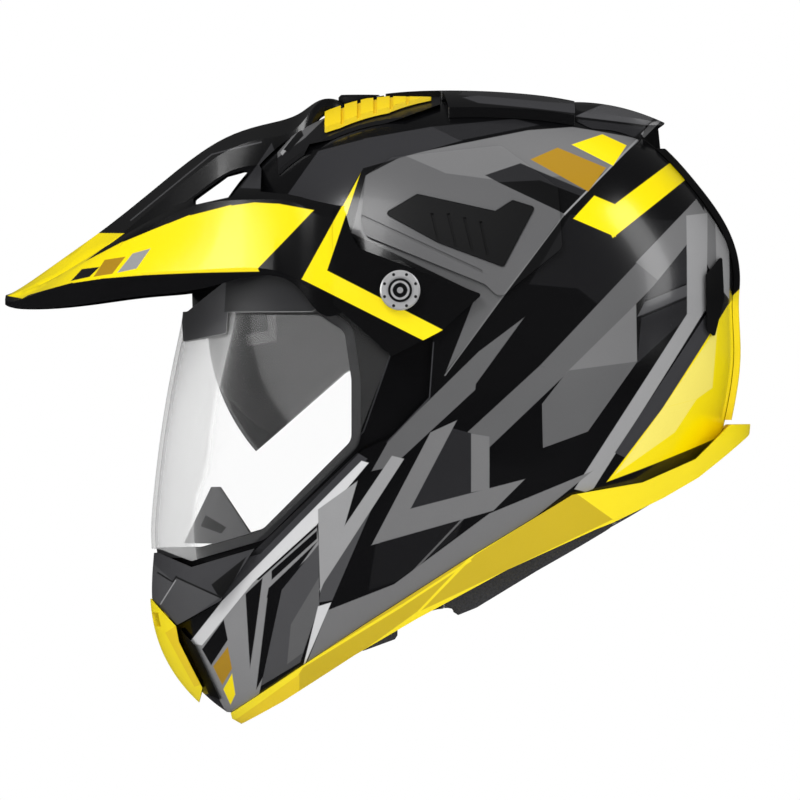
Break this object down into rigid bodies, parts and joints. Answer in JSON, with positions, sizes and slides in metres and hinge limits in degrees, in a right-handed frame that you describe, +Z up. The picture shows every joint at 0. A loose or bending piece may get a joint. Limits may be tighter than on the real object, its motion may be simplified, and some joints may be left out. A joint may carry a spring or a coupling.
{
  "type": "dual sport helmet",
  "caption": "Full-face dual sport helmet with a long slotted peak, clear face shield, drop-down sun visor, crown and chin vents, flared edge trim and padded lining.",
  "frame": {"origin": "middle of the neck opening, on the helmet's middle plane, in the attitude it is worn", "axes": "-X towards the face, +Z up to the crown, +Y towards the wearer's right"},
  "size_m": [0.4131, 0.2618, 0.3516],
  "materials": {
    "shell": "gloss",
    "eps_liner": "matte",
    "chin_liner": "matte",
    "chin_vent_shutter": "matte",
    "crown_pad": "knit",
    "cheek_pad": "knit",
    "neck_roll": "knit",
    "base_trim": "satin",
    "eyeport_gasket": "satin",
    "shield": "clear",
    "sun_visor": "smoke",
    "visor_pivots": "matte",
    "visor_slider": "matte",
    "shield_base": "matte",
    "peak": "gloss",
    "peak_side_screws": "brushed",
    "crest_screw": "matte",
    "crown_fairing": "gloss",
    "rear_spoiler": "gloss",
    "rear_ridge": "satin",
    "crown_vent_body": "satin",
    "crown_vent_slider": "satin",
    "side_panel": "satin",
    "side_vent": "matte",
    "exhaust_vent": "matte",
    "chin_guard": "matte",
    "chin_vent_cover": "gloss",
    "chin_louvres": "matte",
    "breath_deflector": "matte",
    "chin_curtain": "woven",
    "strap_rivets": "brushed",
    "strap": "woven",
    "buckle_tongue": "satin",
    "buckle_body": "brushed",
    "buckle_lever": "satin"
  },
  "bodies": {
    "helmet": {"shell": "shell", "eps_liner": "eps_liner", "chin_liner": "chin_liner", "crown_pad": "crown_pad", "cheek_pad_left": "cheek_pad", "cheek_pad_right": "cheek_pad", "neck_roll": "neck_roll", "base_trim": "base_trim", "eyeport_gasket": "eyeport_gasket", "visor_pivots": "visor_pivots", "shield_base_left": "shield_base", "shield_base_right": "shield_base", "peak": "peak", "peak_side_screws": "peak_side_screws", "crest_screw": "crest_screw", "crown_fairing": "crown_fairing", "rear_spoiler": "rear_spoiler", "rear_ridge": "rear_ridge", "crown_vent_body_left": "crown_vent_body", "crown_vent_body_right": "crown_vent_body", "side_panel_left": "side_panel", "side_panel_right": "side_panel", "side_vent_left": "side_vent", "side_vent_right": "side_vent", "exhaust_vent_left": "exhaust_vent", "exhaust_vent_right": "exhaust_vent", "chin_guard": "chin_guard", "chin_vent_cover": "chin_vent_cover", "chin_louvres": "chin_louvres", "breath_deflector": "breath_deflector", "chin_curtain": "chin_curtain", "strap_rivets": "strap_rivets", "strap_left": "strap", "strap_right": "strap", "buckle_tongue": "buckle_tongue", "buckle_body": "buckle_body"},
    "shield": {"shield": "shield"},
    "sun_visor": {"sun_visor": "sun_visor"},
    "visor_slider": {"visor_slider": "visor_slider"},
    "chin_vent_shutter": {"chin_vent_shutter": "chin_vent_shutter"},
    "crown_vent_slider_left": {"crown_vent_slider_left": "crown_vent_slider"},
    "crown_vent_slider_right": {"crown_vent_slider_right": "crown_vent_slider"},
    "buckle_lever": {"buckle_lever": "buckle_lever"}
  },
  "joints": [
    {"name": "shield_hinge", "type": "hinge", "parent": "helmet", "child": "shield", "pos_m": [-0.03886, 0, 0.17099], "axis": [0, 1, 0], "range_deg": [0, 30]},
    {"name": "sun_visor_hinge", "type": "hinge", "parent": "helmet", "child": "sun_visor", "pos_m": [-0.03609, 0, 0.15434], "axis": [0, 1, 0], "range_deg": [0, 46]},
    {"name": "visor_slide", "type": "slide", "parent": "helmet", "child": "visor_slider", "axis": [0.8635, -0.1822, 0.4703], "range_m": [0, 0.018]},
    {"name": "crown_vent_slide_left", "type": "slide", "parent": "helmet", "child": "crown_vent_slider_left", "axis": [0.9842, 0, 0.1772], "range_m": [0, 0.004]},
    {"name": "crown_vent_slide_right", "type": "slide", "parent": "helmet", "child": "crown_vent_slider_right", "axis": [0.9842, 0, 0.1772], "range_m": [0, 0.004]},
    {"name": "chin_vent_slide", "type": "slide", "parent": "helmet", "child": "chin_vent_shutter", "axis": [0.287, 0, -0.9579], "range_m": [0, 0.007]},
    {"name": "buckle_lever_hinge", "type": "hinge", "parent": "helmet", "child": "buckle_lever", "pos_m": [-0.02498, 0.02, 0.00721], "axis": [-1, 0, 0], "range_deg": [0, 40], "stiffness_Nm_per_rad": 0.02}
  ],
  "couplings": [
    {"joint": "visor_slide", "follows": "sun_visor_hinge", "m_per_rad": 0.022418}
  ]
}
